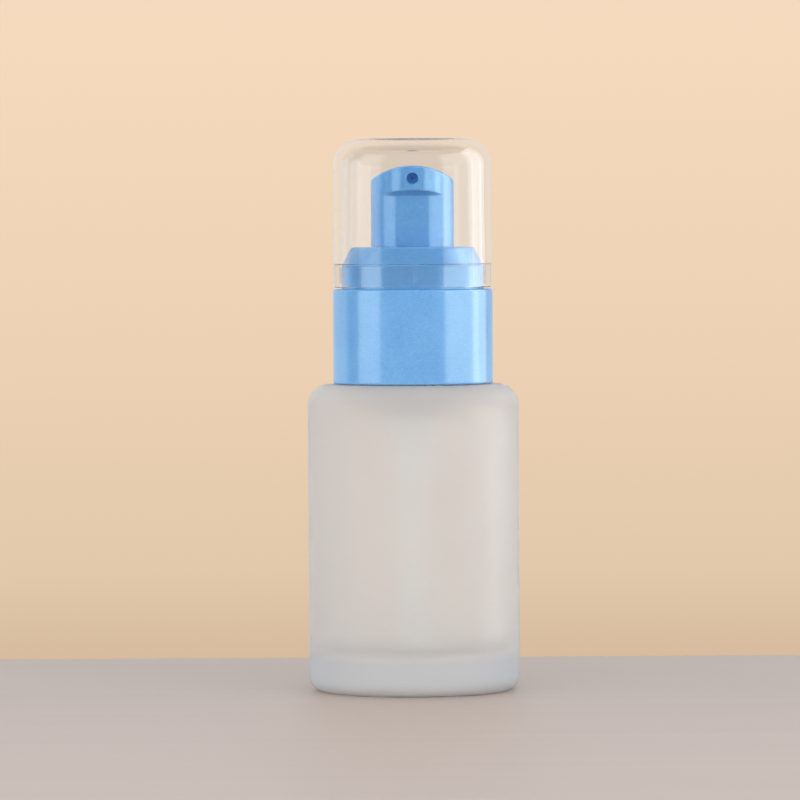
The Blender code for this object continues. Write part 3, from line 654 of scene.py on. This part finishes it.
# shares of a ray's direction, Z for the wall's two heights and Y for the turn from front to back
studio = {"wallLow": -0.085, "wallHigh": 0.05, "foot": "d3b89b", "top": "f5dabf",
          "between": ((0.044, "d7bc9f"), (0.157, "e2c9ab"), (0.466, "edd1b4"), (0.86, "f4d9bd")),
          "front": "8c8c8c", "behind": "e8eaec", "turnStart": 0.25, "turnEnd": 0.4,
          "lift": "dce9e8", "liftGlow": 3.2, "lean": 0.8, "wallStart": 0.68, "wallEnd": 0.8}


def makeWorld():
    # the eye sees a warm pale wall that gets brighter upwards, also through clear plastic and glass where
    # the ray leaves nearly straight back, with its Y + lean * |Z| above wallStart; gloss and matt surfaces
    # take their light from a neutral room, dim in front and bright behind the bottle; matt surfaces under
    # the clear cap get more light from the front, to make up for what its walls turn away
    world = bpy.data.worlds.new("studio")
    bpy.context.scene.world = world
    world.use_nodes = True
    tree = world.node_tree
    place = addNode(tree, "ShaderNodeTexCoord")
    part = addNode(tree, "ShaderNodeSeparateXYZ", None, {"Vector": place.outputs["Generated"]})
    rise = addNode(tree, "ShaderNodeMapRange",
                   {"From Min": studio["wallLow"], "From Max": studio["wallHigh"]},
                   {"Value": part.outputs["Z"]})
    wall = addNode(tree, "ShaderNodeValToRGB", None, {"Fac": rise.outputs[0]})
    stops = wall.color_ramp.elements
    stops[0].color, stops[1].color = srgb(studio["foot"]), srgb(studio["top"])
    for position, colour in studio["between"]:
        stop = stops.new(position)
        stop.color = srgb(colour)
    turn = addNode(tree, "ShaderNodeMapRange",
                   {"From Min": studio["turnStart"], "From Max": studio["turnEnd"]},
                   {"Value": part.outputs["Y"]})
    path = addNode(tree, "ShaderNodeLightPath")
    matt = addNode(tree, "ShaderNodeMath", {"operation": "MULTIPLY"},
                   {0: path.outputs["Is Transmission Ray"], 1: path.outputs["Diffuse Depth"]})
    lift = [studio["liftGlow"] * share for share in srgb(studio["lift"])]
    front = addNode(tree, "ShaderNodeMix", {"data_type": "RGBA", 6: srgb(studio["front"]), 7: lift},
                    {0: matt.outputs[0]})
    room = addNode(tree, "ShaderNodeMix", {"data_type": "RGBA", 7: srgb(studio["behind"])},
                   {0: turn.outputs[0], 6: front.outputs[2]})
    lean = addNode(tree, "ShaderNodeMath", {"operation": "ABSOLUTE"}, {0: part.outputs["Z"]})
    reach = addNode(tree, "ShaderNodeMath", {"operation": "MULTIPLY_ADD", 1: studio["lean"]},
                    {0: lean.outputs[0], 2: part.outputs["Y"]})
    behind = addNode(tree, "ShaderNodeMapRange",
                     {"From Min": studio["wallStart"], "From Max": studio["wallEnd"]},
                     {"Value": reach.outputs[0]})
    through = addNode(tree, "ShaderNodeMath", {"operation": "MULTIPLY"},
                      {0: path.outputs["Is Transmission Ray"], 1: behind.outputs[0]})
    seen = addNode(tree, "ShaderNodeMath", {"operation": "MAXIMUM"},
                   {0: path.outputs["Is Camera Ray"], 1: through.outputs[0]})
    mix = addNode(tree, "ShaderNodeMix", {"data_type": "RGBA"},
                  {0: seen.outputs[0], 6: room.outputs[2], 7: wall.outputs["Color"]})
    tree.links.new(mix.outputs[2], tree.nodes["Background"].inputs["Color"])


def addSoftbox(name, settings):
    # an area light that faces the bottle; azimuth is measured from the camera's side, to the right,
    # and its power follows from the brightness that its face has
    light = bpy.data.lights.new(name, "AREA")
    light.shape = "RECTANGLE"
    light.size, light.size_y = settings["width"], settings["tall"]
    light.energy = settings["glow"] * math.pi * settings["width"] * settings["tall"]
    obj = bpy.data.objects.new(name, light)
    side, rise = math.radians(settings["azimuth"]), math.radians(settings["rise"])
    away = settings["distance"]
    obj.location = (away * math.sin(side) * math.cos(rise), -away * math.cos(side) * math.cos(rise),
                    away * math.sin(rise) + stage["middle"] * mm)
    aim = -obj.location.copy()
    aim.z += stage["middle"] * mm
    obj.rotation_euler = aim.to_track_quat("-Z", "Y").to_euler()
    obj.visible_camera = False
    for kind in settings.get("hiddenFrom", ()):
        setattr(obj, "visible_" + kind, False)
    bpy.context.scene.collection.objects.link(obj)


# azimuth and rise in degrees, sizes and distance in metres, glow is the face's brightness
softboxes = {
    "leftSoftbox": {"azimuth": -66.5, "rise": 8, "distance": 0.9, "width": 0.6, "tall": 1.2, "glow": 1.05},
    "rightSoftbox": {"azimuth": 78, "rise": 8, "distance": 0.9, "width": 1.1, "tall": 1.2, "glow": 1.4},
    "rimCard": {"azimuth": 113, "rise": 8, "distance": 0.9, "width": 0.55, "tall": 1.2, "glow": 1.15,
                "hiddenFrom": ["diffuse"]},
    "frontFill": {"azimuth": 0, "rise": 26, "distance": 1.3, "width": 3.0, "tall": 1.0, "glow": 2.35,
                  "hiddenFrom": ["glossy", "transmission"]},
    "leftFill": {"azimuth": -95, "rise": 10, "distance": 0.9, "width": 0.6, "tall": 1.2, "glow": 1.2,
                 "hiddenFrom": ["glossy", "transmission"]}}
view = {"distance": 0.9, "height": 0.078, "side": -0.00227, "tilt": 1.811, "roll": 0.3,
        "lens": 237.2, "sensor": 36.0}


def makeCamera():
    data = bpy.data.cameras.new("camera")
    data.lens = view["lens"]
    data.sensor_width = view["sensor"]
    data.clip_start, data.clip_end = 0.01, 50.0
    camera = bpy.data.objects.new("camera", data)
    camera.location = (view["side"], -view["distance"], view["height"])
    camera.rotation_mode = "XYZ"
    camera.rotation_euler = (math.radians(90 - view["tilt"]), 0.0, 0.0)
    camera.rotation_euler.rotate_axis("Z", math.radians(-view["roll"]))
    bpy.context.scene.collection.objects.link(camera)
    bpy.context.scene.camera = camera


makeFloor()
makeWorld()
for name, settings in softboxes.items():
    addSoftbox(name, settings)
makeCamera()
bpy.context.scene.view_settings.view_transform = "Standard"
bounces = {"max_bounces": 32, "diffuse_bounces": 8, "glossy_bounces": 24, "transmission_bounces": 24}
for name, count in bounces.items():  # enough to pass the bottle's and the overcap's walls
    setattr(bpy.context.scene.cycles, name, count)
print("stage made")
